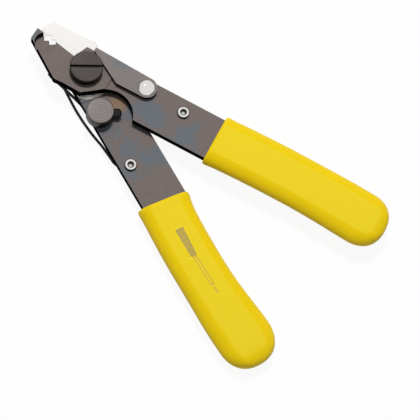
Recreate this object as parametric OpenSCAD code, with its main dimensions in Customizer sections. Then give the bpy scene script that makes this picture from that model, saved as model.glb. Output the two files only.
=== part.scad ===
// Hand-held fibre stripper: two crossed steel plates on a slotted pivot screw,
// notched jaws, a swing latch, an adjustable closing stop, a wire return spring
// and dipped vinyl grips.
//
// Frame: X runs along the centre line from the jaws to the handles, Z out of the
// front face, with the origin on the pivot axis at the pivot nut's back face.
// The tool is drawn open, at rest. Millimetres and degrees.

/* [Plates] */
// Thickness of each plate at its jaw and pivot
head_t = 3.3; // [3:0.1:4]
// How much lower the handle's outer face lies than the head's
step_out = 0.4; // [0.2:0.05:0.45]
// How far the handle's inner face stands back from the head's
step_in = 0.2; // [0.15:0.05:0.5]
// Distance from the pivot to the step, along the handle
step_u = 8.4; // [8.1:0.1:9]
// Play between the bearing faces of the two plates
plate_gap = 0.05; // [0.04:0.01:0.1]

/* [Movement] */
// Angle from the centre line to each handle, open
handle_a = 16.2; // [15.8:0.1:18]
// Angle through which the handles close
close_a = 11.5; // [9:0.5:12]
// Running clearance round pivots, on the radius
run_gap = 0.04; // [0.02:0.01:0.08]
// Clearance round fixed pins and screws, on the radius
fit_gap = 0.02; // [0.01:0.01:0.04]

/* [Jaws] */
// Length of the jaws from the pivot
jaw_l = 20.6; // [19.5:0.1:22]
// How far each blade passes the centre line when closed
blade_lap = 1.17; // [0.8:0.01:1.4]
// Width of the front jaw's end, from the centre line
front_tip_w = 2.7; // [2.4:0.1:3.6]
// Width of the rear jaw's end, from the centre line
rear_tip_w = 3.4; // [2.6:0.1:3.8]
// Distance of the front heel from the centre line
front_heel_w = 8.97; // [8.6:0.05:9.6]
// Distance of the rear heel from the centre line
rear_heel_w = 9.46; // [9:0.05:10]
// Distance of the heels ahead of the pivot
heel_l = 5.9; // [5:0.1:6.2]
// Distance of the outer notch from the pivot
notch1_r = 16.7; // [16.3:0.1:17.2]
// Hole that the outer notches leave when closed, across its corners
notch1_d = 0.14; // [0.1:0.01:0.3]
// Distance of the inner notch from the pivot
notch2_r = 14.6; // [14.2:0.1:15]
// Hole that the inner notches leave when closed, across its corners
notch2_d = 0.25; // [0.14:0.01:0.4]
// Radius of the round recess that thins the blade
recess_r = 3.35; // [3:0.05:3.8]
// Thickness of the blade under the recess
blade_t = 1.1; // [0.8:0.1:1.6]

/* [Handles] */
// Width of the steel handles
handle_w = 14.5; // [13.8:0.1:14.8]
// How far the front handle's middle is shifted towards the rear handle
front_off = 0.25; // [0.1:0.05:0.4]
// How far the rear handle's middle is shifted towards the front handle
rear_off = 1.2; // [0.8:0.1:1.3]
// Distance from the pivot to the end of the steel handle
tang_l = 102; // [96:1:104]
// Radius of the cleared arc in the handle's inner edge
arc_r = 8.4; // [8:0.1:8.6]

/* [Grips] */
// Distance from the pivot to the mouth of the front grip
front_mouth_u = 46.2; // [44:0.1:52]
// Distance from the pivot to the mouth of the rear grip
rear_mouth_u = 48.5; // [44:0.1:52]
// How much further on the rear grip's mouth lies at its inner edge than at its middle
mouth_slant = 0.75; // [0:0.05:1]
// Thickness of the vinyl over the faces of the handle
grip_skin_z = 1.8; // [1.4:0.1:2.2]
// Mean thickness of the vinyl beside the front handle
front_skin_y = 1.45; // [1.2:0.05:1.7]
// Mean thickness of the vinyl beside the rear handle
rear_skin_y = 1.05; // [1:0.05:1.4]
// Extra half width of the front grip at its swell
front_swell = 0.35; // [0.2:0.05:0.8]
// Extra half width of the rear grip at its swell
rear_swell = 0.9; // [0.4:0.05:1.1]
// Place of the front grip's middle at its crest, outwards from the handle's axis
front_crest = 0.6; // [0.3:0.1:0.8]
// Place of the rear grip's middle at its crest, outwards from the handle's axis
rear_crest = 0.35; // [0.2:0.05:0.6]
// How far the front grip bends in again from its crest to its swell
front_bow = 0.9; // [0.5:0.1:1.2]
// How far the rear grip bends in again from its crest to its swell
rear_bow = 1.35; // [0.8:0.05:1.5]
// Width of the flat along the faces of the grips
grip_flat_w = 8; // [6:0.5:9]
// Distance from the pivot to the end of the front grip
front_grip_u = 107; // [106:0.25:109]
// Distance from the pivot to the end of the rear grip
rear_grip_u = 108.25; // [107:0.25:110]

/* [Pivot screw] */
// Diameter of the screw's cheese head
pivot_head_d = 10.5; // [9.6:0.1:10.7]
// Height of the screw's head
pivot_head_h = 2.8; // [2:0.1:3.5]
// Diameter of the shoulder that the front plate turns on
pivot_d = 6; // [5.2:0.1:7]
// Diameter of the screw's threaded end
pivot_thread_d = 5; // [4:0.1:5]
// Width of the screwdriver slot
slot_w = 1; // [0.8:0.1:1.4]
// Depth of the screwdriver slot
slot_h = 1.2; // [0.8:0.1:1.6]
// Direction of the slot
slot_a = 45.5; // [0:0.5:90]
// Thickness of the washer behind the rear plate
washer_t = 0.5; // [0.3:0.1:0.8]
// Diameter of that washer
washer_d = 10; // [9:0.5:11]
// Width across the flats of the pivot nut
nut_af = 8; // [7.5:0.5:9]
// Thickness of the pivot nut
nut_t = 1.9; // [1.9:0.1:2.5]

/* [Latch] */
// Thickness of the latch
latch_t = 1.2; // [1:0.1:1.6]
// Thickness of the washer under the latch
latch_washer_t = 0.5; // [0.5:0.05:0.7]
// Radius of the latch's round end
latch_r = 3.45; // [3.2:0.05:3.7]
// Diameter of the latch rivet
latch_rivet_d = 3.2; // [2.6:0.1:3.6]
// Diameter of the rivet's dome
dome_d = 5.4; // [4.8:0.1:6]
// Height of the rivet's dome
dome_h = 1.5; // [1:0.1:2]
// Angle through which the latch swings out
latch_a = 45; // [20:5:60]
// Gap between the latch and the pivot screw's head
latch_rest_gap = 0.3; // [0.2:0.05:0.4]

/* [Closing stop] */
// Diameter of the stop post
post_d = 8.6; // [8:0.1:9]
// Height of the stop post above the rear handle
post_h = 4.6; // [4.1:0.1:5.2]
// Diameter of the stop screw
stop_d = 3; // [2.5:0.1:3]
// Length of the stop screw
stop_l = 7.5; // [5:0.5:9]
// Direction of the stop screw, from the centre line
stop_a = 46; // [42:1:50]
// Play left between the stop screw and the front plate when closed
stop_play = 0.06; // [0.05:0.01:0.2]
// Diameter of the post's tail behind the rear plate
tail_d = 2.6; // [2.2:0.1:2.8]

/* [Socket screws] */
// Diameter of the socket screws' heads
cap_d = 3.8; // [3.5:0.1:4.2]
// Height of the heads above the handle
cap_proud = 0.9; // [0.5:0.1:1.1]
// Depth of the counterbore under the heads
cap_sunk = 1.1; // [0.8:0.1:1.3]
// Diameter of the socket screws' shanks
cap_shank_d = 2; // [1.6:0.1:2.2]
// Width across the flats of the hexagon socket
cap_hex = 1.5; // [1.3:0.1:2]

/* [Return spring] */
// Diameter of the spring wire
wire_d = 0.9; // [0.7:0.05:1]
// Diameter of the peg in the front plate's heel
peg_d = 1.5; // [1.3:0.1:1.7]

/* [Hidden] */

// Heights, counted from the plane between the two plates
face_z = plate_gap / 2;                 // bearing face of a plate
head_z = face_z + head_t;               // outer face of a head
in_z = face_z + step_in;                // inner face of a handle
out_z = head_z - step_out;              // outer face of a handle
mid_z = (in_z + out_z) / 2;             // middle of a handle
deck_z = head_z + washer_t + nut_t;     // from the nut's back face to the plane between the plates

// Chooses the value for the front or the rear half
function pick(half, front, rear) = half == "front" ? front : rear;

// Handle edges, across its own axis; inside its grip the handle is narrower on the inner side
function v_out(half) = handle_w / 2 - pick(half, front_off, rear_off);
function v_in(half) = -handle_w / 2 - pick(half, front_off, rear_off);
tang_in = handle_w / 2 - 0.45;
tang_corner_r = 5;

// Places on the plates, in the front plate's own half of the tool
arc_c = [14.95, -6];                    // middle of the arc cleared in the front plate
front_hub_pt = [3.4, -7.22];            // corner behind the heel, drawn closed
rear_hub_pt = [3.45, -6.68];
front_heel_mid = [-2.9, -8.22];
rear_heel_mid = [-1.7, -7.95];
rivet_pt = [17.75, 9];
screw_pt = polar(33.6, handle_a + 4.3);
peg_pt = [-8, -6];
post_pt = [12.97, -6.86];
shoulder_u = -3.4;                      // where the handle's outer edge ends at the jaw

// Stop screw: the rim of its end meets the arc when the handles are closed
stop_tip_d = 1.6;
stop_cone_h = (stop_d - stop_tip_d) / 2;
closed_post = turn(post_pt, close_a) - arc_c;
stop_dir = polar(1, stop_a + close_a);
function reach(q) = sqrt(pow(q * stop_dir, 2) + pow(arc_r, 2) - q * q) - q * stop_dir;
stop_reach = min([for (side = [-1, 1]) reach(closed_post + side * polar(stop_tip_d / 2, stop_a + close_a + 90))])
             - stop_play;
stop_z = mid_z;

// Washer and latch levels
latch_z = out_z + latch_washer_t;       // underside of the latch
dome_z = latch_z + latch_t + 0.05;      // underside of the rivet's dome
lip_w_gap = 0.15;                       // between the latch's lip and the plate's edge

// Wire levels behind the plates
wire_r = wire_d / 2;
wire_z = -(head_z + 0.05 + wire_r);     // straight leg, just behind the rear plate
eye_z = wire_z - wire_d - 0.06;         // bowed leg, behind the straight one
end_z = -(out_z + 0.05 + wire_r);       // eye on the rear socket screw
tail_end_z = -(deck_z - 0.3);

$fn = 72;

// ---------------------------------------------------------------- geometry
function polar(r, a) = r * [cos(a), sin(a)];
function turn(p, a) = [p.x * cos(a) - p.y * sin(a), p.x * sin(a) + p.y * cos(a)];

// A point drawn with the jaws closed, moved to the open position of the front plate
function opened(p) = turn(p, close_a / 2);

// A point given along (u) and across (v) the front handle
function on_handle(u, v) = turn([u, v], handle_a);

// Point where a line from p touches the circle (c, r), on the circle's left as seen from p
function touch(p, c, r) =
    let(d = c - p, l = norm(d), a = asin(r / l), t = sqrt(l * l - r * r))
    p + t * turn(d / l, a);

// A closed outline with its corners rounded: each entry is [point, radius]
function rounded(path, steps = 5) = [
    for (i = [0 : len(path) - 1])
        let(n = len(path),
            p = path[i][0], r = path[i][1],
            a = path[(i + n - 1) % n][0] - p, b = path[(i + 1) % n][0] - p,
            ua = a / norm(a), ub = b / norm(b),
            half = acos(max(-1, min(1, ua * ub))) / 2,
            bis = (ua + ub) / max(norm(ua + ub), 1e-6),
            c = p + bis * r / sin(half),
            t0 = p + ua * r / tan(half), t1 = p + ub * r / tan(half),
            a0 = atan2((t0 - c).y, (t0 - c).x), a1 = atan2((t1 - c).y, (t1 - c).x),
            sweep = (a1 - a0 + 540) % 360 - 180)
        each (r == 0 ? [p] : [for (k = [0 : steps]) c + polar(r, a0 + sweep * k / steps)])];

// Moves a piece from the plane between the plates to its height above the nut's back face
module seat() translate([0, 0, deck_z]) children();

// Moves a piece of the front half to the rear half: the tool's halves are one shape turned over
module turned_over() rotate([180, 0, 0]) children();

// A cylinder between two heights
module rod(p, r, z0, z1) translate([p.x, p.y, z0]) cylinder(r = r, h = z1 - z0);

// ------------------------------------------------------------------ plates
// Outline of a plate, jaw at the left, handle at the right
function notch(r, d) = [opened([-r - blade_lap - d / 2, blade_lap]), opened([-r, -d / 2]),
                        opened([-r + blade_lap + d / 2, blade_lap])];
crest_x = (notch1_r + notch2_r) / 2 + (notch1_d - notch2_d) / 4;
crest_y = blade_lap - (notch2_r + blade_lap + notch2_d / 2 - crest_x);
inner_corner_l = 5.68;
arc_c_uv = turn(arc_c, -handle_a);
arc_corner_u = arc_c_uv.x + sqrt(pow(arc_r, 2) - pow(v_in("front") - arc_c_uv.y, 2));
function mouth_u(half) = pick(half, front_mouth_u, rear_mouth_u + mouth_slant);

// Handle inside its grip, from its outer edge round its end to the inner edge at the mouth
function tang_path(half) = [
    [on_handle(tang_l, v_out(half)), tang_corner_r],
    [on_handle(tang_l, -tang_in), tang_corner_r],
    [on_handle(mouth_u(half) + 6, -tang_in), 2],
    [on_handle(mouth_u(half) + 1, v_in(half)), 2]];

// Edge between the handle and the hub: the front plate is cleared for the stop post there.
// Its two corners lie inside the cleared arc, which cuts them off.
function waist_path(half) = half == "front"
    ? [[on_handle(arc_corner_u - 2, v_in(half)), 0], [touch(opened(front_hub_pt), arc_c, 0.985 * arc_r), 0]]
    : [[on_handle(step_u - 1.4, v_in(half)), 3]];

function plate_path(half) = concat([
    [opened([-jaw_l, blade_lap]), 0.3],
    [notch(notch1_r, notch1_d)[0], 0],
    [notch(notch1_r, notch1_d)[1], 0],
    [opened([-crest_x, crest_y]), 0],
    [notch(notch2_r, notch2_d)[1], 0],
    [notch(notch2_r, notch2_d)[2], 0],
    [opened([-inner_corner_l, blade_lap]), 0.3],
    [on_handle(shoulder_u, v_out(half)), 0.4]],
    tang_path(half),
    waist_path(half), [
    [opened(pick(half, front_hub_pt, rear_hub_pt)), 0.8],
    [opened(pick(half, front_heel_mid, rear_heel_mid)), 3],
    [opened([-heel_l, -pick(half, front_heel_w, rear_heel_w)]), 0.5],
    [opened([-jaw_l + 0.5, -pick(half, front_tip_w, rear_tip_w)]), 0.3]]);

module plate_blank(half) {
    difference() {
        translate([0, 0, face_z]) linear_extrude(head_t) polygon(rounded(plate_path(half)));
        // handle ground lower on both faces beyond the step
        rotate([0, 0, handle_a]) translate([step_u, -3 * handle_w, out_z])
            cube([2 * tang_l, 6 * handle_w, head_t]);
        rotate([0, 0, handle_a]) translate([step_u, -3 * handle_w, in_z - head_t])
            cube([2 * tang_l, 6 * handle_w, head_t]);
        // round recess that leaves a thin blade at the notches
        rod(opened([-(notch1_r + notch2_r) / 2, -1.1 + 0.5 * (blade_lap - 1.17)]), recess_r,
            face_z + blade_t, head_z + 1);
    }
}

module front_plate() color("dimgray") seat()
    difference() {
        plate_blank("front");
        // arc that clears the stop post
        rod(arc_c, arc_r, -1, head_z + 1);
        rod([0, 0], pivot_d / 2 + run_gap, -1, head_z + 1);
        rod(rivet_pt, latch_rivet_d / 2 + fit_gap, in_z - 1, out_z + 1);
        rod(screw_pt, cap_shank_d / 2 + fit_gap, in_z - 1, out_z + 1);
        rod(screw_pt, cap_d / 2 + fit_gap, out_z - cap_sunk, out_z + 1);
        rod(peg_pt, peg_d / 2 + fit_gap, -1, face_z + 0.6 * head_t);
    }

module rear_plate() color("dimgray") seat()
    difference() {
        turned_over() plate_blank("rear");
        rod([0, 0], pivot_d / 2 + fit_gap, -head_z - 1, 1);
        rod(post_pt, post_foot_r + fit_gap, -out_z - 1, 0);
        rod(rear_screw_pt, cap_shank_d / 2 + fit_gap, -out_z - 1, 0);
        rod(rear_screw_pt, cap_d / 2 + fit_gap, -in_z - cap_sunk, 1);
    }
post_foot_r = 2;
rear_screw_pt = [screw_pt.x, -screw_pt.y];

// ------------------------------------------------------------------- grips
// Outlines across and along a grip: a straight part, a swell and a rounded end
grip_half_z = (out_z - in_z) / 2 + grip_skin_z;
end_u = 98;                             // where the rounded end begins
crest_u = 70.5;
swell_start_u = 76;
lip_l = 2;
lip_h = 0.15;
mouth_round = 0.2;
flare = 0.55;                           // at the rear grip's mouth, on its inner side
function ease(t) = let(c = max(0, min(1, t))) c * c * (3 - 2 * c);
function grip_u(half) = pick(half, front_grip_u, rear_grip_u);
function end_part(half, u) = max(0, (u - end_u) / (grip_u(half) - end_u));
function plan_fall(t) = pow(1 - pow(t, 2.3), 1 / 2.3);
function side_fall(t) = pow(1 - pow(t, 5), 1 / 2.5);
function grip_lip(t) = lip_h * sin(180 * min(1, t / lip_l)) - mouth_round * pow(max(0, 1 - t / 1.2), 2);
function swell_part(u) = ease((u - swell_start_u) / (end_u - swell_start_u));
function bend_part(u) = pow((min(u, end_u) - crest_u) / (end_u - crest_u), 2);
function grip_half_w(half, u) = (handle_w / 2 + pick(half, front_skin_y, rear_skin_y)
                                 + pick(half, front_swell, rear_swell) * swell_part(u))
                                * plan_fall(end_part(half, u)) + grip_lip(u - mouth_u(half));
function grip_mid_v(half, u) = pick(half, front_crest, rear_crest)
                               - pick(half, front_bow, rear_bow) * bend_part(u);
function grip_half_t(half, u) = grip_half_z * side_fall(end_part(half, u)) + grip_lip(u - mouth_u(half));

// Ring round the handle at distance u: flat on the faces, elliptic at the edges
corner_steps = 6;
function grip_ring(half, u) =
    let(w = grip_half_w(half, u), h = grip_half_t(half, u), mid = grip_mid_v(half, u),
        flat = grip_flat_w / 2 * plan_fall(end_part(half, u)),
        near = 1 - ease((u - mouth_u(half)) / 7),
        slant = pick(half, 0, mouth_slant) * near, spread = pick(half, 0, flare) * near)
    [for (q = [0 : 3]) for (k = [0 : corner_steps])
        let(a = 90 * (q + k / corner_steps), side = (q == 0 || q == 3) ? 1 : -1,
            across = side * flat + (w - flat + (side < 0 ? spread : 0)) * cos(a))
        [u - slant * (1 + across / w), mid + across, mid_z + h * sin(a)]];
body_steps = 8;
end_steps = 9;
function grip_stations(half) = concat(
    [for (k = [0 : 3]) mouth_u(half) + lip_l * k / 4],
    [for (k = [0 : body_steps - 1]) mouth_u(half) + lip_l + (end_u - mouth_u(half) - lip_l) * k / body_steps],
    [for (k = [0 : end_steps]) end_u + (grip_u(half) - end_u) * sin(88 * k / end_steps)]);

// Skin through a row of equal rings
function skin_faces(rings, n) = concat(
    [[for (j = [0 : n - 1]) j]],
    [for (i = [0 : rings - 2]) for (j = [0 : n - 1])
        [i * n + j, (i + 1) * n + j, (i + 1) * n + (j + 1) % n, i * n + (j + 1) % n]],
    [[for (j = [n - 1 : -1 : 0]) (rings - 1) * n + j]]);

module grip(half) {
    rings = [for (u = grip_stations(half)) grip_ring(half, u)];
    difference() {
        rotate([0, 0, handle_a])
            polyhedron([for (r = rings) for (p = r) p], skin_faces(len(rings), len(rings[0])), convexity = 4);
        // pocket that fits the steel handle
        translate([0, 0, in_z]) linear_extrude(out_z - in_z) polygon(rounded(concat(
            [[on_handle(mouth_u(half) - 5, v_out(half)), 0]],
            tang_path(half),
            [[on_handle(mouth_u(half) - 5, v_in(half)), 0]])));
    }
}

module front_grip() color("gold") seat() grip("front");
module rear_grip() color("gold") seat() turned_over() grip("rear");

// ------------------------------------------------------------------- pivot
head_edge = 0.3;                        // chamfer round the screw's head
pivot_top_z = head_z + 0.05 + pivot_head_h;
module pivot_screw() color([0.25, 0.24, 0.23]) seat()
    difference() {
        rotate_extrude() polygon([
            [0, -deck_z], [pivot_thread_d / 2, -deck_z],
            [pivot_thread_d / 2, -head_z + 0.1], [pivot_d / 2, -head_z + 0.1],
            [pivot_d / 2, head_z + 0.05], [pivot_head_d / 2, head_z + 0.05],
            [pivot_head_d / 2, pivot_top_z - head_edge], [pivot_head_d / 2 - head_edge, pivot_top_z],
            [0, pivot_top_z]]);
        rotate([0, 0, slot_a]) translate([-pivot_head_d, -slot_w / 2, pivot_top_z - slot_h])
            cube([2 * pivot_head_d, slot_w, slot_h + 1]);
    }

module pivot_washer() color("silver") seat()
    difference() {
        rod([0, 0], washer_d / 2, -head_z - washer_t, -head_z);
        rod([0, 0], pivot_thread_d / 2 + fit_gap, -head_z - washer_t - 1, -head_z + 1);
    }

module pivot_nut() color("silver")
    difference() {
        cylinder(d = nut_af / cos(30), h = nut_t, $fn = 6);
        translate([0, 0, -1]) cylinder(r = pivot_thread_d / 2 + fit_gap, h = nut_t + 2);
    }

// ------------------------------------------------------------------- latch
latch_top_a = 14.8;                     // direction of the latch's outer edge
latch_low_a = 16.95;                    // direction of its inner edge
latch_tip = [-2.95, 7.25];
latch_elbow = [10.1, 3.15];
latch_heel = [-2.3, 6.1];
latch_outer = rivet_pt + polar(latch_r, 90 + latch_top_a);
latch_inner = rivet_pt + polar(latch_r, latch_low_a - 90);
lip_end = latch_outer + ((latch_tip.x + 4.9 - latch_outer.x) / cos(latch_top_a)) * polar(1, latch_top_a);
function beside_handle(x) = [x, (v_out("front") + lip_w_gap + x * sin(handle_a)) / cos(handle_a)];

module latch() color([0.45, 0.42, 0.41]) seat()
    difference() {
        union() {
            translate([0, 0, latch_z]) linear_extrude(latch_t)
                polygon(rounded([[latch_tip, 0.2], [latch_outer, 0], [rivet_pt, 0], [latch_inner, 0],
                                 [latch_elbow, 0.8], [latch_heel, 0.3]]));
            rod(rivet_pt, latch_r, latch_z, latch_z + latch_t);
            // lip that hangs over the outer edge of the front plate
            translate([0, 0, in_z]) linear_extrude(latch_z - in_z + 0.2)
                polygon([beside_handle(latch_tip.x + 0.15), latch_tip + [0.15, 0.04], lip_end,
                         beside_handle(lip_end.x)]);
        }
        rod(rivet_pt, latch_rivet_d / 2 + run_gap, latch_z - 1, latch_z + latch_t + 1);
        rod([0, 0], pivot_head_d / 2 + latch_rest_gap, latch_z - 1, latch_z + latch_t + 1);
    }

module latch_washer() color("silver") seat()
    difference() {
        rod(rivet_pt, latch_rivet_d / 2 + 1.2, out_z, latch_z - 0.03);
        rod(rivet_pt, latch_rivet_d / 2 + fit_gap, out_z - 1, latch_z + 1);
    }

module latch_rivet() color("silver") seat()
    translate([rivet_pt.x, rivet_pt.y, 0]) rotate_extrude()
        polygon([[0, in_z + 0.1], [latch_rivet_d / 2, in_z + 0.1], [latch_rivet_d / 2, dome_z],
                 for (k = [0 : 11]) let(a = dome_a * (1 - k / 12))
                     [dome_r * sin(a), dome_z + dome_h - dome_r * (1 - cos(a))],
                 [0, dome_z + dome_h]]);
dome_r = (pow(dome_d / 2, 2) + pow(dome_h, 2)) / (2 * dome_h);
dome_a = asin(dome_d / 2 / dome_r);

// ------------------------------------------------------------ closing stop
post_edge = 0.25;
module post_axis() translate([post_pt.x, post_pt.y, 0]) children();

module stop_post() color([0.55, 0.52, 0.5]) seat()
    difference() {
        post_axis() rotate_extrude() polygon([
            [0, tail_end_z], [tail_d / 2, tail_end_z], [tail_d / 2, -out_z], [post_foot_r, -out_z],
            [post_foot_r, -in_z], [post_d / 2, -in_z], [post_d / 2, -in_z + post_h - post_edge],
            [post_d / 2 - post_edge, -in_z + post_h], [0, -in_z + post_h]]);
        // tapped cross hole for the stop screw
        post_axis() translate([0, 0, stop_z]) rotate([0, 0, stop_a]) rotate([0, 90, 0])
            translate([0, 0, -post_d]) cylinder(r = stop_d / 2 + fit_gap, h = 2 * post_d);
    }

module stop_screw() color([0.12, 0.12, 0.12]) seat()
    post_axis() translate([0, 0, stop_z]) rotate([0, 0, stop_a]) rotate([0, 90, 0])
        difference() {
            rotate_extrude() polygon([[0, stop_reach - stop_l], [stop_d / 2, stop_reach - stop_l],
                                      [stop_d / 2, stop_reach - stop_cone_h],
                                      [stop_tip_d / 2, stop_reach], [0, stop_reach]]);
            // hexagon socket at its outer end
            translate([0, 0, stop_reach - stop_l - 1]) cylinder(d = 1.5 / cos(30), h = 2.5, $fn = 6);
        }

module post_clip() color("silver") seat()
    difference() {
        rod(post_pt, tail_d / 2 + 1, clip_z, clip_z + clip_t);
        rod(post_pt, tail_d / 2 + fit_gap, clip_z - 1, clip_z + 1);
    }
clip_t = 0.5;
clip_z = wire_z - wire_r - 0.1 - clip_t;

// ----------------------------------------------------------- socket screws
module socket_screw(p, top_z, tail_z) {
    difference() {
        translate([p.x, p.y, 0]) rotate_extrude() polygon([
            [0, tail_z], [cap_shank_d / 2, tail_z], [cap_shank_d / 2, top_z - cap_sunk],
            [cap_d / 2, top_z - cap_sunk], [cap_d / 2, top_z + cap_proud - 0.2],
            [cap_d / 2 - 0.2, top_z + cap_proud], [0, top_z + cap_proud]]);
        translate([p.x, p.y, top_z + cap_proud - 1.1]) cylinder(d = cap_hex / cos(30), h = 2, $fn = 6);
    }
}

module front_socket_screw() color("silver") seat() socket_screw(screw_pt, out_z, in_z + 0.1);
module rear_socket_screw() color("silver") seat() socket_screw(rear_screw_pt, -in_z, tail_end_z);

rear_nut_t = 1.2;
rear_nut_z = end_z - wire_r - 0.08;
module rear_screw_nut() color("silver") seat()
    difference() {
        translate([rear_screw_pt.x, rear_screw_pt.y, rear_nut_z - rear_nut_t])
            cylinder(d = 4 / cos(30), h = rear_nut_t, $fn = 6);
        rod(rear_screw_pt, cap_shank_d / 2 + fit_gap, rear_nut_z - rear_nut_t - 1, rear_nut_z + 1);
    }

// ----------------------------------------------------------- return spring
peg_head_t = 0.3;
module spring_peg() color("silver") seat()
    union() {
        rod(peg_pt, peg_d / 2, eye_z - wire_r - 0.1 - peg_head_t, face_z + 0.6 * head_t - 0.1);
        rod(peg_pt, peg_d / 2 + 0.55, eye_z - wire_r - 0.1 - peg_head_t, eye_z - wire_r - 0.1);
    }

// The wire: hook on the post's tail, straight leg, eye round the peg, bowed leg, eye on the rear screw
eye_r = peg_d / 2 + wire_r + 0.06;
hook_r = tail_d / 2 + wire_r + 0.06;
rear_eye_r = cap_shank_d / 2 + wire_r + 0.06;
function lifted(p, z) = [p.x, p.y, z];
straight_y = peg_pt.y - eye_r;
wire_path = concat(
    [for (a = [60 : -25 : -90]) lifted(post_pt + polar(hook_r, a), wire_z)],
    [[10.4, -8.0, wire_z], [8, -7.45, wire_z], [2, straight_y, wire_z]],
    [for (k = [0 : 8]) lifted(peg_pt + polar(eye_r, -90 - 204 * k / 8), wire_z + (eye_z - wire_z) * k / 8)],
    [[-5, -5.75, eye_z], [-2, -6.95, eye_z], [1.9, -8.35, eye_z], [5.5, -9.6, eye_z], [9.4, -10.75, eye_z],
     [13.5, -11.8, eye_z], [16.5, -12.4, eye_z], [20, -12.9, eye_z + 0.1], [24, -13.6, eye_z + 0.3],
     [27, -14, eye_z + 0.6]],
    [for (a = [240 : 25 : 440]) lifted(rear_screw_pt + polar(rear_eye_r, a), end_z)]);

// Tube of radius r swept along the points, with a fixed side direction across the wire's plane
wire_sides = 8;
function along(path, i) = let(d = path[min(i + 1, len(path) - 1)] - path[max(i - 1, 0)]) d / norm(d);
function tube_ring(path, i, r) =
    let(t = along(path, i), s = cross([0, 0, 1], t), side = s / norm(s), up = cross(t, side))
    [for (k = [0 : wire_sides - 1]) let(a = 360 * (k + 0.5) / wire_sides)
        path[i] + r * (cos(a) * side + sin(a) * up)];

module return_spring() color([0.1, 0.1, 0.1]) seat()
    polyhedron([for (i = [0 : len(wire_path) - 1]) for (p = tube_ring(wire_path, i, wire_r)) p],
               skin_faces(len(wire_path), wire_sides), convexity = 6);

front_plate();
rear_plate();
front_grip();
rear_grip();
pivot_screw();
pivot_washer();
pivot_nut();
latch();
latch_washer();
latch_rivet();
stop_post();
stop_screw();
post_clip();
front_socket_screw();
rear_socket_screw();
rear_screw_nut();
spring_peg();
return_spring();
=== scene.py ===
import bpy
import bmesh
from math import cos, pi, radians, sin
from mathutils import Matrix, Vector


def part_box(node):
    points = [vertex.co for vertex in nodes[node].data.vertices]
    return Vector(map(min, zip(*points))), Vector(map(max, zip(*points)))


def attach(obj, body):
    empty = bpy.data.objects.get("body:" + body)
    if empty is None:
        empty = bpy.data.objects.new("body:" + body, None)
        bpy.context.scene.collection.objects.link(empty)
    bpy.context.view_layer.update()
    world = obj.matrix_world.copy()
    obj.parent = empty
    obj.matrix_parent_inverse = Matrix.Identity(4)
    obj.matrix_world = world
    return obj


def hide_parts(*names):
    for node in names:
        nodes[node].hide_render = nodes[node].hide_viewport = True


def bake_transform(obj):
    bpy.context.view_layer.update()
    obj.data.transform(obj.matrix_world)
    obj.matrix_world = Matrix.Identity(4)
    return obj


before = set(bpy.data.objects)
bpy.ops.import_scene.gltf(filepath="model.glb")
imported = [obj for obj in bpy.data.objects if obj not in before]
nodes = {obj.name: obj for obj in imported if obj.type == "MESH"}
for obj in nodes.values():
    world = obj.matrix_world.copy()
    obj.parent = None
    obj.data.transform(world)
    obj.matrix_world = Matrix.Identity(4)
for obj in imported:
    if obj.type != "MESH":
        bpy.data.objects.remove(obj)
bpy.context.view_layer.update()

# The camera looks at the tool's front face from a little above the jaws and to
# the rear handle's side, with a long lens, so the two plates show their edges.
front_face = 0.003325                           # height of the front plate's face over its inner side
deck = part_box("front_plate")[1][2] - front_face     # the plane in which the two plates rub
camera_place = (0.152976, -0.214625, 0.633168 + deck)
look = Vector((-0.13923, 0.31180, -0.93989)).normalized()
across = look.cross(Vector((-0.67948, 0.66037, 0.31972))).normalized()
above = across.cross(look)
camera = bpy.data.objects.new("camera", bpy.data.cameras.new("camera"))
bpy.context.scene.collection.objects.link(camera)
bpy.context.scene.camera = camera
camera.matrix_world = (Matrix.Translation(camera_place)
                       @ Matrix((across, above, -look)).transposed().to_4x4())
camera.data.sensor_width = 36
camera.data.lens = 184.78
camera.data.clip_start = 0.05
camera.data.clip_end = 20

# The studio: a white floor that the tool lies on, a small lamp beyond the jaws for
# crisp shadows, a weak one at the side for a sheen, and an even white surround.
ambient = 0.16                                  # what the surround adds to the lamps' light
floor_glow = 0.93                               # the rest of the floor's white keeps the shadow
key_place, key_size, key_power = (-0.24, 0.26, 1.0), 0.12, 8.9
sheen_place, sheen_size, sheen_power = (-0.55, 0.2, 0.8), 0.25, 0.25
lit_spot = (0.03, 0, 0)

scene = bpy.context.scene
scene.view_settings.view_transform = "Standard"


class Socket:
    """A shader value: sums on it add Math nodes."""

    def __init__(self, tree, out):
        self.tree, self.out = tree, out

    def math(self, operation, *values):
        return node(self.tree, "ShaderNodeMath", {"operation": operation}, *values)

    def __add__(self, other):
        return self.math("ADD", self, other)

    def __radd__(self, other):
        return self.math("ADD", other, self)

    def __sub__(self, other):
        return self.math("SUBTRACT", self, other)

    def __rsub__(self, other):
        return self.math("SUBTRACT", other, self)

    def __mul__(self, other):
        return self.math("MULTIPLY", self, other)

    def __rmul__(self, other):
        return self.math("MULTIPLY", other, self)

    def __lt__(self, other):
        return self.math("LESS_THAN", self, other)

    def __gt__(self, other):
        return self.math("GREATER_THAN", self, other)

    def __pow__(self, other):
        return self.math("POWER", self, other)

    def most(self, other):
        return self.math("MAXIMUM", self, other)

    def size(self):
        return self.math("ABSOLUTE", self)

    def sine(self):
        return self.math("SINE", self)


def node(tree, kind, settings, *values, out=0, **named):
    """Makes one node: its settings first, then its sockets in order or by name."""
    made = tree.nodes.new(kind)
    for key, value in settings.items():
        setattr(made, key, value)
    by_name = ((key.replace("_", " "), value) for key, value in named.items())
    for where, value in [*enumerate(values), *by_name]:
        if isinstance(value, Socket):
            tree.links.new(value.out, made.inputs[where])
        elif value is not None:
            made.inputs[where].default_value = value
    return Socket(tree, made.outputs[out])


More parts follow.
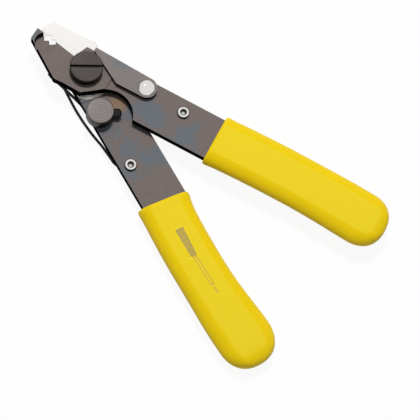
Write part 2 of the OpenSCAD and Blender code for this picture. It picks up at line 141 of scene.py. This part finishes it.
def paint(name, *fixed):
    """A new material with constants on its shader: it, its tree, its shader and its place in mm."""
    made = bpy.data.materials.new(name)
    made.use_nodes = True
    tree = made.node_tree
    shader = tree.nodes["Principled BSDF"]
    for key, value in fixed:
        shader.inputs[key].default_value = value
    place = node(tree, "ShaderNodeTexCoord", {}, out="Object")
    place = node(tree, "ShaderNodeVectorMath", {"operation": "SCALE"}, place, None, None, 1000.0)
    return made, tree, shader, place


def feed(tree, shader, **sockets):
    for key, value in sockets.items():
        tree.links.new(value.out, shader.inputs[key.replace("_", " ")])


def split(tree, vector):
    """The three numbers of a vector."""
    return [node(tree, "ShaderNodeSeparateXYZ", {}, vector, out=i) for i in range(3)]


def blend_colours(tree, factor, a, b):
    """Colour a where the factor is 0, colour b where it is 1."""
    mix = tree.nodes.new("ShaderNodeMix")
    mix.data_type = "RGBA"
    for where, value in (("Factor_Float", factor), ("A_Color", a), ("B_Color", b)):
        socket = next(s for s in mix.inputs if s.identifier == where)
        if isinstance(value, Socket):
            tree.links.new(value.out, socket)
        else:
            socket.default_value = (*value, 1)
    return Socket(tree, next(s for s in mix.outputs if s.identifier == "Result_Color"))


def noise(tree, place, scale, detail=2.0, rough=0.5):
    """A noise value from 0 to 1; the scale is in cycles per mm."""
    return node(tree, "ShaderNodeTexNoise", {}, Vector=place, Scale=scale, Detail=detail,
                Roughness=rough)


def band(tree, value, low, high):
    """Rises smoothly from 0 at low to 1 at high."""
    return node(tree, "ShaderNodeMapRange", {"interpolation_type": "SMOOTHSTEP"}, value, low, high,
                0.0, 1.0)


def bumped(tree, shader, height, distance):
    """Feeds the shader a normal tilted by a height in mm."""
    bump = node(tree, "ShaderNodeBump", {}, Strength=1.0, Distance=distance / 1000, Height=height)
    feed(tree, shader, Normal=bump)


def background_rays(tree):
    """1 for the rays that see the background as plain white."""
    rays = tree.nodes.new("ShaderNodeLightPath")
    camera_ray, glossy_ray, through_ray = (Socket(tree, rays.outputs[f"Is {kind} Ray"])
                                           for kind in ("Camera", "Glossy", "Transmission"))
    return camera_ray.most(glossy_ray).most(through_ray)


def shown(name, shape):
    """A mesh object made from a bmesh, which is then freed."""
    mesh = bpy.data.meshes.new(name)
    shape.to_mesh(mesh)
    shape.free()
    made = bpy.data.objects.new(name, mesh)
    scene.collection.objects.link(made)
    return made


world = bpy.data.worlds.new("surround")
scene.world = world
world.use_nodes = True
sky = world.node_tree
sky.nodes.clear()
surround = node(sky, "ShaderNodeBackground", {}, (1, 1, 1, 1),
                background_rays(sky) * (1 - ambient) + ambient)
sky.links.new(surround.out, sky.nodes.new("ShaderNodeOutputWorld").inputs["Surface"])

shape = bmesh.new()
bmesh.ops.create_grid(shape, x_segments=1, y_segments=1, size=1.5)
floor = shown("floor", shape)
floor.location.z = -0.0003
white, tree, shader, place = paint("white_floor", ("Base Color", (0.9, 0.9, 0.9, 1)),
                                   ("Roughness", 0.9), ("Specular IOR Level", 0.0))
glow = node(tree, "ShaderNodeEmission", {}, (1, 1, 1, 1), 1.0)
mixed = node(tree, "ShaderNodeMixShader", {}, background_rays(tree) * floor_glow,
             Socket(tree, shader.outputs[0]), glow)
tree.links.new(mixed.out, tree.nodes["Material Output"].inputs["Surface"])
floor.data.materials.append(white)


def lamp(name, place, size, power, in_gloss):
    """A square soft lamp aimed at the tool."""
    data = bpy.data.lights.new(name, "AREA")
    data.size, data.energy = size, power
    made = bpy.data.objects.new(name, data)
    scene.collection.objects.link(made)
    aim = (Vector(lit_spot) - Vector(place)).to_track_quat("-Z", "Y")
    made.matrix_world = Matrix.Translation(place) @ aim.to_matrix().to_4x4()
    made.visible_glossy = in_gloss


lamp("key_lamp", key_place, key_size, key_power, False)
lamp("sheen_lamp", sheen_place, sheen_size, sheen_power, True)

# The two plates: hard steel stampings that cross at the pivot, one of them turned over.
# They are blacked and then ground bright on the inner face where they rub and cut; their walls
# are painted near black as shade. Only the front one has the arc round the closing stop.
edge_break = 0.12                               # mm taken off the stamped edges
jaw_reach = 30.0                                # mm from the pivot: the jaws lie within it
land_outer, land_inner = 8.9, 8.5               # the ground land round the pivot ends here
notches_from = -6.0                             # x, mm: the cutting walls lie beyond it
heat_spot, heat_outer, heat_inner = 14.3, 4.5, 1.5      # x of the straw-coloured heat tint


def eased(name, width, segments):
    """A copy of a CAD node with its sharp edges broken, as tumbled or chamfered parts have them."""
    made = nodes[name].copy()
    made.data = nodes[name].data.copy()
    made.name = made.data.name = name + "_eased"
    scene.collection.objects.link(made)
    shape = bmesh.new()
    shape.from_mesh(made.data)
    bmesh.ops.remove_doubles(shape, verts=shape.verts, dist=2e-6)
    bmesh.ops.dissolve_limit(shape, angle_limit=radians(1), verts=shape.verts, edges=shape.edges)
    sharp = [edge for edge in shape.edges
             if len(edge.link_faces) == 2 and edge.calc_face_angle(0) > radians(30)]
    bmesh.ops.bevel(shape, geom=sharp, offset=width / 1000, affect="EDGES", segments=segments,
                    profile=0.5, clamp_overlap=True, material=-1, offset_type="OFFSET")
    for face in shape.faces:
        face.smooth = True
    shape.to_mesh(made.data)
    shape.free()
    made.data.set_sharp_from_angle(angle=radians(25))
    return made


def stands_for(piece, name, body):
    """A finished piece that takes the place of a CAD node."""
    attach(piece, body)
    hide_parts(name)


def dressed(name, body, material, width=0.08, segments=2):
    """A CAD node's form with broken edges and a finished material."""
    piece = eased(name, width, segments)
    piece.data.materials.clear()
    piece.data.materials.append(material)
    stands_for(piece, name, body)


def lying(tree):
    """How far the surface faces up, from -1 to 1, and 1 on flats but 0 on walls."""
    facing = split(tree, node(tree, "ShaderNodeNewGeometry", {}, out="Normal"))[2]
    return facing, band(tree, facing.size(), 0.6, 0.9)


def blued_steel(name, inner_side):
    """Blacked steel: brown, blue where it was hot, walls painted black as shade, bright where it rubs.
    """
    brown, blue, straw = (0.215, 0.178, 0.166), (0.165, 0.188, 0.212), (0.30, 0.20, 0.135)
    pitted, painted_wall_shade = (0.085, 0.070, 0.066), (0.004, 0.004, 0.004)
    dull_grind, clean_grind = (0.80, 0.78, 0.75), (0.95, 0.93, 0.90)
    rear = inner_side > 0
    made, tree, shader, place = paint(name, ("Specular IOR Level", 0.0))
    x, y, _ = split(tree, place)
    facing, flat = lying(tree)
    grain = noise(tree, place, 2.2, 3.0, 0.7)
    tint = band(tree, noise(tree, place, 0.09, 3.0, 0.6), 0.50, 0.66)
    colour = blend_colours(tree, tint, brown, blue)
    reach = (x * x + y * y) ** 0.5
    if rear:
        off = ((x - heat_spot) * (x - heat_spot) + y * y) ** 0.5
        colour = blend_colours(tree, band(tree, off, heat_outer, heat_inner), colour, straw)
    colour = blend_colours(tree, band(tree, grain, 0.40, 0.75) * 0.4, colour, pitted)
    # Painted shade: the walls are painted near black, darker than the blacked faces.
    colour = blend_colours(tree, flat, painted_wall_shade, colour)
    near = reach < jaw_reach
    jaw = (x < 0.0) * near
    land = band(tree, reach, land_outer, land_inner)
    bright = jaw.most(land) * band(tree, facing * inner_side, 0.8, 0.95)
    if rear:
        bright = bright.most((x < notches_from) * near * (facing.size() < 0.8))
    along_grind = node(tree, "ShaderNodeMapping", {}, place, None, (0, 0, 0.6), (0.3, 4.0, 1.0))
    ground = blend_colours(tree, noise(tree, along_grind, 1.0, 4.0), dull_grind, clean_grind)
    feed(tree, shader, Base_Color=blend_colours(tree, bright, colour, ground),
         Metallic=(flat * 0.15).most(bright), Roughness=0.42 + grain * 0.12 - bright * 0.1)
    bumped(tree, shader, grain, 0.012)
    return made


for name, body, inner_side in (("front_plate", "front_half", -1.0), ("rear_plate", "rear_half", 1.0)):
    dressed(name, body, blued_steel(name + "_steel", inner_side), edge_break, 1)

# The grips: soft yellow vinyl, dipped over each handle, so the skin is thicker on
# the faces than on the edges, rolls over at the mouth and closes in a round end.
handle_turn = radians(16.2)
handle_mid = 1.575                              # mm from the deck to a handle's middle
grip_thick, grip_flat = 3.15, 4.0               # half the thickness, half the width of the flats
crest_from, swell_from, end_from = 70.5, 76.0, 98.0     # mm from the pivot along the handle
tang_half, pocket_thick, clearance = 6.8, 1.39, 0.04    # the pocket that the handle fills
pocket_end = [(102.04, 4.4), (101.5, 2.8), (100.5, 1.43), (99, 0.42)]   # place, inset
plan_power, side_power, side_root = 2.3, 5, 0.4         # how square the closed end is

# The mouth's rolled lip: place past the mouth, then what it adds to half the width and
# half the thickness.
lip = [(0.42, -0.75, -1.5), (0.08, -0.42, -0.85), (0.0, -0.2, -0.4), (0.12, -0.02, -0.14),
       (0.45, 0.1, 0.02), (1.0, 0.15, 0.1), (1.7, 0.12, 0.07), (2.6, 0.04, 0.0)]


def eased_step(t):
    t = max(0.0, min(1.0, t))
    return t * t * (3 - 2 * t)


def cuff(shape, u, wide, thick, flat, middle, slant, spread):
    """One closed ring across the handle: flat on its faces, elliptic at its edges."""
    made = bmesh.ops.create_circle(shape, segments=48, radius=1)["verts"]
    for v in made:
        side = 0 if abs(v.co.x) < 1e-4 else (1 if v.co.x > 0 else -1)
        inner_spread = spread if side < 0 else 0
        v_across = side * flat + (wide - flat + inner_spread) * v.co.x
        v.co = Vector((u - slant * (1 + v_across / wide), middle + v_across,
                       handle_mid + thick * v.co.y)) / 1000
    return made


def skinned(shape, rings):
    """Bridges closed rings of points, one after the other, into a capped and smooth tube."""
    last = None
    for n, verts in enumerate(rings):
        ring = set(verts)
        loop = [e for e in dict.fromkeys(e for v in verts for e in v.link_edges)
                if e.verts[0] in ring and e.verts[1] in ring]
        if last:
            bmesh.ops.bridge_loops(shape, edges=last + loop)
        if n in (0, len(rings) - 1):
            bmesh.ops.contextual_create(shape, geom=loop)
        last = loop
    bmesh.ops.recalc_face_normals(shape, faces=shape.faces)
    for face in shape.faces:
        face.smooth = True


def sleeve(name, mouth, slant, flare, half, swell, crest, bow, end, outer, inner):
    """A dipped grip as rings from the pocket's blind end out over the mouth to the closed end.

    Half the width is half at the mouth and grows by swell; its middle line starts at crest and
    bends in by bow; outer and inner are the tang's edges at the mouth, which lies at a slant.
    """
    rings = []
    for u, inset in pocket_end + [(97, 0), (88, 0), (78, 0), (66, 0), (mouth + 6, 0)]:
        wide = (outer + tang_half) / 2 - inset + clearance
        rings.append((u, wide, pocket_thick, wide - 0.1, (outer - tang_half) / 2, 0, 0))
    wide = (outer - inner) / 2 + clearance
    rings.append((mouth + 1.2, wide, pocket_thick, wide - 0.1, (outer + inner) / 2, slant, 0))
    for past, wider, thicker in lip + [(past, 0, 0) for past in
                                       (4, 6, 8.5, 12, *(u - mouth for u in range(64, 98, 4)))]:
        u = mouth + past
        near = 1 - eased_step(past / 7)
        wide = half + swell * eased_step((u - swell_from) / (end_from - swell_from)) + wider
        middle = crest - bow * ((u - crest_from) / (end_from - crest_from)) ** 2
        rings.append((u, wide, grip_thick + thicker, grip_flat, middle, slant * near,
                      flare * near))
    for k in range(12):
        t = sin(radians(7.9 * k))
        fall = (1 - t ** plan_power) ** (1 / plan_power)
        rings.append((end_from + (end - end_from) * t, (half + swell) * fall,
                      grip_thick * (1 - t ** side_power) ** side_root, grip_flat * fall,
                      crest - bow, 0, 0))
    shape = bmesh.new()
    skinned(shape, [cuff(shape, *ring) for ring in rings])
    made = shown(name, shape)
    finer = made.modifiers.new("finer", "SUBSURF")
    finer.levels = finer.render_levels = 1
    return made


def strip(u, v, start, end, low, high, low_slope, high_slope, edge):
    """1 inside a straight-sided strip along the handle, less an edge all round."""
    run = u - start
    return ((u > start + edge) * (u < end - edge) * (v > run * low_slope + (low + edge))
            * (v < run * high_slope + (high - edge)))


def bar_sign(tree, place):
    """The sign on the rear grip, three ever thinner bars: its filled block and its dark lines."""
    x, y, _ = split(tree, place)
    u = x * cos(handle_turn) - y * sin(handle_turn)
    v = x * -sin(handle_turn) - y * cos(handle_turn)
    thick_bar = (59.2, 69.05, -1.37, 1.28, 0.064, -0.011)
    thin_bar = (69.25, 79.8, -0.54, 0.73, -0.018, -0.030)
    block, block_in = strip(u, v, *thick_bar, 0.0), strip(u, v, *thick_bar, 0.25)
    bar, bar_in = strip(u, v, *thin_bar, 0.0), strip(u, v, *thin_bar, 0.22)
    line = strip(u, v, 80.5, 82.9, -0.33, -0.07, -0.07, -0.07, 0.0)
    hatch = ((u + v) * 7.0).sine() > 0.1
    return block, ((block - block_in) + block_in * hatch).most(bar - bar_in).most(line)


def vinyl(name, signed):
    """Satin yellow vinyl, a little paler on the flats as a painted sheen; the rear grip's face has a
    printed sign.
    """
    made, tree, shader, place = paint(name, ("Specular IOR Level", 0.2))
    dimple = noise(tree, place, 1.4, 2.0)
    cloud = noise(tree, place, 0.09, 1.0)
    facing, _ = lying(tree)
    # Painted sheen: the flats that face straight up are paler, for the light they reflect.
    level = band(tree, facing.size(), 0.985, 0.998)
    colour = blend_colours(tree, cloud, (0.90, 0.63, 0.003), (0.93, 0.67, 0.005))
    colour = blend_colours(tree, level, colour, (0.93, 0.70, 0.022))
    if signed:
        block, dark = bar_sign(tree, place)
        front = facing > 0.9
        colour = blend_colours(tree, block * front * 0.8, colour, (0.58, 0.43, 0.09))
        colour = blend_colours(tree, dark * front * 0.75, colour, (0.38, 0.27, 0.13))
    feed(tree, shader, Base_Color=colour, Roughness=0.42 + dimple * 0.1)
    bumped(tree, shader, dimple, 0.02)
    return made


front_sleeve = sleeve("front_grip_skin", mouth=46.2, slant=0, flare=0, half=8.7, swell=0.35,
                      crest=0.6, bow=0.9, end=107, outer=7.0, inner=-7.5)
rear_sleeve = sleeve("rear_grip_skin", mouth=49.25, slant=0.75, flare=0.55, half=8.3, swell=0.9,
                     crest=0.35, bow=1.35, end=108.25, outer=6.05, inner=-8.45)
for grip, name, body in ((front_sleeve, "front_grip", "front_half"),
                         (rear_sleeve, "rear_grip", "rear_half")):
    rear = name == "rear_grip"
    grip.data.transform(Matrix.Rotation(handle_turn, 4, "Z"))
    if rear:
        grip.data.transform(Matrix.Rotation(pi, 4, "X"))
    grip.data.transform(Matrix.Translation((0, 0, deck)))
    grip.data.materials.append(vinyl(name + "_vinyl", rear))
    stands_for(grip, name, body)

# The pivot: a slotted cheese-head screw of dark turned steel through both plates,
# with a plated washer and nut behind.


def turned_steel(name, axis, dark, light, rings, roughness):
    """Turned steel: fine rings about the piece's own axis, (x, y) in mm, and walls painted dark as
    shade.
    """
    made, tree, shader, place = paint(name, ("Metallic", 1.0))
    off = node(tree, "ShaderNodeVectorMath", {"operation": "SUBTRACT"}, place, (*axis, 0.0))
    x, y, _ = split(tree, off)
    reach = (x * x + y * y) ** 0.5
    _, flat = lying(tree)
    wave = (reach * rings).sine() * 0.5 + 0.5
    grain = noise(tree, place, 2.2, 3.0, 0.7)
    shade = blend_colours(tree, wave * 0.5 + grain * 0.5, dark, light)
    # Painted shade: the walls take an eighth of the dark colour.
    shade = blend_colours(tree, flat, tuple(0.12 * c for c in dark), shade)
    feed(tree, shader, Base_Color=shade, Roughness=roughness + grain * 0.12)
    bumped(tree, shader, wave, 0.01)
    return made


dressed("pivot_screw", "rear_half",
        turned_steel("screw_steel", (0, 0), (0.075, 0.066, 0.06), (0.12, 0.105, 0.098), 9.0, 0.3))
nickel, tree, shader, place = paint("nickel_plate", ("Metallic", 1.0))
grain = noise(tree, place, 1.5, 2.0)
feed(tree, shader, Base_Color=blend_colours(tree, grain, (0.663, 0.6545, 0.6375), (0.78, 0.77, 0.75)),
     Roughness=0.16 + grain * 0.08)
for name in ("pivot_washer", "pivot_nut"):
    dressed(name, "rear_half", nickel)

# The latch: a lever of grey steel sheet that swings on a domed rivet in the front
# handle; a washer lifts it clear and its bent lip hooks over the plate's edge.
latch_grey, tree, shader, place = paint("latch_grey", ("Specular IOR Level", 0.0))
_, flat = lying(tree)
tint = band(tree, noise(tree, place, 0.12, 2.0), 0.4, 0.6)
grain = noise(tree, place, 3.0, 3.0, 0.7)
colour = blend_colours(tree, tint, (0.27, 0.235, 0.225), (0.215, 0.225, 0.235))
colour = blend_colours(tree, band(tree, grain, 0.35, 0.75) * 0.3, colour, (0.10, 0.09, 0.085))
# Painted shade: the latch's walls are painted near black.
colour = blend_colours(tree, flat, (0.004, 0.004, 0.004), colour)
feed(tree, shader, Base_Color=colour, Metallic=flat * 0.15, Roughness=0.42 + grain * 0.12)
bumped(tree, shader, grain, 0.012)
dressed("latch", "latch_lever", latch_grey, 0.12)
for name in ("latch_washer", "latch_rivet"):
    dressed(name, "front_half", nickel, 0.05)

# The closing stop: a turned post riveted into the rear handle, with a black socket
# set screw through its side that meets the front plate's arc when the tool closes.
post_axis = (12.97, -6.86)
dressed("stop_post", "rear_half",
        turned_steel("post_steel", post_axis, (0.20, 0.17, 0.16), (0.31, 0.28, 0.27), 6.5, 0.28), 0.1)
black, tree, shader, place = paint("black_oxide", ("Metallic", 0.6))
grain = noise(tree, place, 2.5, 2.0)
feed(tree, shader, Base_Color=blend_colours(tree, grain, (0.006, 0.006, 0.006), (0.014, 0.013, 0.013)),
     Roughness=0.35 + grain * 0.2)
dressed("stop_screw", "rear_half", black, 0.05)
dressed("post_clip", "rear_half", nickel, 0.05)

# Two small plated socket screws, one in each handle, with painted shade in the hexagon socket and round
# the head's edge; the nut on the rear one's tail clamps the spring.
for name, body in (("front_socket_screw", "front_half"), ("rear_socket_screw", "rear_half")):
    low_corner, high_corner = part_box(name)
    middle = [500 * (low_corner[i] + high_corner[i]) for i in (0, 1)]
    socket_steel, tree, shader, place = paint(name + "_steel", ("Metallic", 1.0))
    off = node(tree, "ShaderNodeVectorMath", {"operation": "SUBTRACT"}, place, (*middle, 0.0))
    x, y, _ = split(tree, off)
    reach = (x * x + y * y) ** 0.5
    # Painted shade: dark in the hexagon socket and round the head's edge.
    painted_socket_shade = band(tree, reach, 0.5, 0.75) * band(tree, reach, 1.2, 1.0)
    painted_edge_shade = band(tree, reach, 1.62, 1.8)
    shade = blend_colours(tree, painted_socket_shade.most(painted_edge_shade), (0.74, 0.73, 0.70), (0.035, 0.034, 0.033))
    feed(tree, shader, Base_Color=shade, Roughness=0.25 + noise(tree, place, 1.5, 2.0) * 0.1)
    dressed(name, body, socket_steel, 0.12)
dressed("rear_screw_nut", "rear_half", nickel)

# The return spring: one length of black music wire behind the plates. It hooks on the
# stop post's tail, turns round a peg in the front plate and ends on the rear screw.
wire_radius = 0.45
wire_low, loop_low, eye_low = -3.825, -4.785, -3.425        # mm over the deck
peg_axis, rear_screw_axis = (-8, -6), (31.472, -11.767)


def bend(axis, radius, degrees, level):
    """A point of the wire on its way round a post, peg or screw."""
    return (axis[0] + radius * cos(radians(degrees)), axis[1] + radius * sin(radians(degrees)), level)


hook = [bend(post_axis, 1.81, a, wire_low) for a in range(60, -91, -25)]
inner_strand = [(10.4, -8.0, wire_low), (8, -7.45, wire_low), (2, -7.26, wire_low)]
loop = [bend(peg_axis, 1.26, -90 - 25.5 * k, wire_low + (loop_low - wire_low) * k / 8) for k in range(9)]
bowed_strand = [(x, y, loop_low) for x, y in ((-5, -5.75), (-2, -6.95), (1.9, -8.33), (5.5, -9.52),
                                              (9.4, -10.55), (13.5, -11.4), (16.5, -11.85))]
bowed_strand += [(20, -12.3, -4.685), (24, -13.1, -4.485), (27, -13.7, -4.185)]
eye = [bend(rear_screw_axis, 1.51, a, eye_low) for a in range(240, 441, 25)]


def wire(name, route, radius):
    """A round wire along a smooth line through the given points, in mm."""
    knots = [Vector(point) for point in route]
    knots = [knots[0] * 2 - knots[1], *knots, knots[-1] * 2 - knots[-2]]
    line = []
    for before, a, b, after in zip(knots, knots[1:], knots[2:], knots[3:]):
        steps = max(2, round((b - a).length / 0.45))
        for k in range(steps):
            t = k / steps
            line.append(0.5 * (2 * a + (b - before) * t + (2 * before - 5 * a + 4 * b - after) * t ** 2
                               + (3 * a - before - 3 * b + after) * t ** 3))
    line.append(knots[-2])
    shape = bmesh.new()
    rings = []
    for n, spot in enumerate(line):
        ahead = (line[min(n + 1, len(line) - 1)] - line[max(n - 1, 0)]).normalized()
        side = ahead.cross(Vector((0, 0, 1))).normalized()
        over = side.cross(ahead)
        rings.append(bmesh.ops.create_circle(shape, segments=14, radius=radius)["verts"])
        for v in rings[-1]:
            v.co = (spot + side * v.co.x + over * v.co.y) / 1000
    skinned(shape, rings)
    bmesh.ops.translate(shape, verts=shape.verts, vec=(0, 0, deck))
    return shown(name, shape)


dressed("spring_peg", "front_half", black, 0.05)
spring = wire("return_spring_wire", hook + inner_strand + loop + bowed_strand + eye, wire_radius)
spring.data.materials.append(black)
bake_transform(spring)
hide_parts("return_spring")
